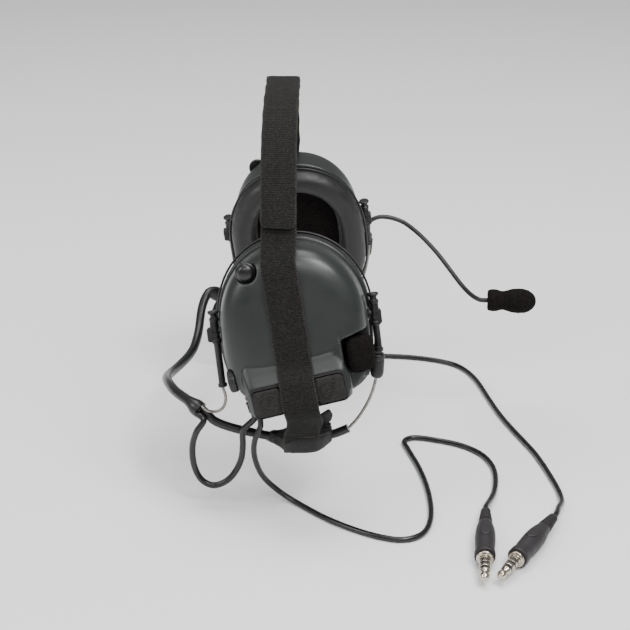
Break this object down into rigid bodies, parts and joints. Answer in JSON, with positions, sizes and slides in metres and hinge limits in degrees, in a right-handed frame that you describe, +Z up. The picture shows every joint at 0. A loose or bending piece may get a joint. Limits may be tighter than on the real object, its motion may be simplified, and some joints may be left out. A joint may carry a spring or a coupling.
{
  "type": "radio headphones",
  "caption": "Over-ear communication headset: two electronic ear cups on a behind-the-neck wire band, overhead strap, boom microphone and leads ending in round jack plugs.",
  "frame": {"origin": "midway between the two ear cups, where the middle of the wearer's head is", "axes": "+X forward from the wearer's face, +Y to the wearer's left, +Z up"},
  "size_m": [0.2698, 0.3626, 0.2545],
  "materials": {
    "shell_plastic": "satin moulded grey-green",
    "black_plastic": "satin moulded black",
    "black_gloss": "glossy black",
    "black_rubber": "matt black rubber",
    "cord_rubber": "satin black cable jacket",
    "cushion_skin": "soft black synthetic leather",
    "open_foam": "black open-cell foam",
    "webbing": "black hook-and-loop webbing",
    "board": "green circuit board",
    "steel": "spring steel",
    "plug_metal": "nickel plated brass",
    "battery_skin": "plain battery can"
  },
  "bodies": {
    "neckband": {"neck_sleeve": "cord_rubber", "right_front_wire": "steel", "right_rear_wire": "steel", "right_sheath": "cord_rubber", "right_keeper": "black_plastic", "right_strap": "webbing", "right_link_cable": "cord_rubber", "right_plug_lead": "cord_rubber", "right_plug_boot": "black_rubber", "right_plug_jack": "plug_metal", "left_front_wire": "steel", "left_rear_wire": "steel", "left_sheath": "cord_rubber", "left_keeper": "black_plastic", "left_strap": "webbing", "left_link_cable": "cord_rubber", "left_plug_lead": "cord_rubber", "left_plug_boot": "black_rubber", "left_plug_jack": "plug_metal"},
    "right_carriage": {"right_front_guide": "black_plastic", "right_rear_guide": "black_plastic"},
    "right_cup": {"right_cup_shell": "shell_plastic", "right_cushion": "cushion_skin", "right_backplate": "black_plastic", "right_ear_foam": "open_foam", "right_speaker": "black_plastic", "right_dome_plug": "black_gloss", "right_battery": "battery_skin", "right_mic_foam": "open_foam", "right_mic_capsule": "steel", "right_port_barrel": "black_plastic", "right_lead_gland": "black_rubber", "right_link_gland": "black_rubber", "right_circuit_board": "board", "right_keypad_base": "black_rubber", "right_port_plug": "black_rubber"},
    "right_battery_lid": {"right_battery_cap": "black_plastic"},
    "left_carriage": {"left_front_guide": "black_plastic", "left_rear_guide": "black_plastic"},
    "left_cup": {"left_cup_shell": "shell_plastic", "left_cushion": "cushion_skin", "left_backplate": "black_plastic", "left_ear_foam": "open_foam", "left_speaker": "black_plastic", "left_dome_plug": "black_gloss", "left_battery": "battery_skin", "left_mic_foam": "open_foam", "left_mic_capsule": "steel", "left_port_barrel": "black_plastic", "left_lead_gland": "black_rubber", "left_link_gland": "black_rubber", "left_cover_plate": "black_plastic"},
    "left_battery_lid": {"left_battery_cap": "black_plastic"},
    "button_down": {"right_button_down": "black_rubber"},
    "button_up": {"right_button_up": "black_rubber"},
    "boom": {"boom_arm": "black_plastic", "boom_capsule": "steel", "boom_windscreen": "open_foam"}
  },
  "joints": [
    {"name": "right_cup_height", "type": "slide", "parent": "neckband", "child": "right_carriage", "axis": [-0.1192, 0.2079, 0.9709], "range_m": [0, 0.012], "deforming": ["right_strap", "left_strap", "right_link_cable", "right_plug_lead"]},
    {"name": "right_cup_tilt", "type": "hinge", "parent": "right_carriage", "child": "right_cup", "pos_m": [0.0001, -0.09709, -0.00083], "axis": [0.9925, 0, 0.1219], "range_deg": [-10, 4], "deforming": ["right_strap", "left_strap", "right_link_cable", "right_plug_lead"]},
    {"name": "right_battery_lid_turn", "type": "hinge", "parent": "right_cup", "child": "right_battery_lid", "pos_m": [-0.03989, -0.12002, -0.03204], "axis": [0.9706, 0.0253, 0.2393], "range_deg": [0, 90]},
    {"name": "left_cup_height", "type": "slide", "parent": "neckband", "child": "left_carriage", "axis": [-0.1192, -0.2079, 0.9709], "range_m": [0, 0.012], "deforming": ["left_strap", "right_strap", "left_link_cable", "left_plug_lead"]},
    {"name": "left_cup_tilt", "type": "hinge", "parent": "left_carriage", "child": "left_cup", "pos_m": [0.0001, 0.09709, -0.00083], "axis": [-0.9925, 0, -0.1219], "range_deg": [-10, 4], "deforming": ["left_strap", "right_strap", "left_link_cable", "left_plug_lead"]},
    {"name": "left_battery_lid_turn", "type": "hinge", "parent": "left_cup", "child": "left_battery_lid", "pos_m": [-0.03989, 0.12002, -0.03204], "axis": [0.9706, -0.0253, 0.2393], "range_deg": [0, 90]},
    {"name": "button_down_press", "type": "slide", "parent": "right_cup", "child": "button_down", "axis": [0.0253, 0.9781, -0.2064], "range_m": [0, 0.0012], "stiffness_N_per_m": 1200, "springref_m": -0.001},
    {"name": "button_up_press", "type": "slide", "parent": "right_cup", "child": "button_up", "axis": [0.0253, 0.9781, -0.2064], "range_m": [0, 0.0012], "stiffness_N_per_m": 1200, "springref_m": -0.001},
    {"name": "boom_swing", "type": "hinge", "parent": "left_cup", "child": "boom", "pos_m": [0.05126, 0.1107, -0.01789], "axis": [0.0614, -0.2045, 0.9769], "range_deg": [-8, 90]}
  ]
}
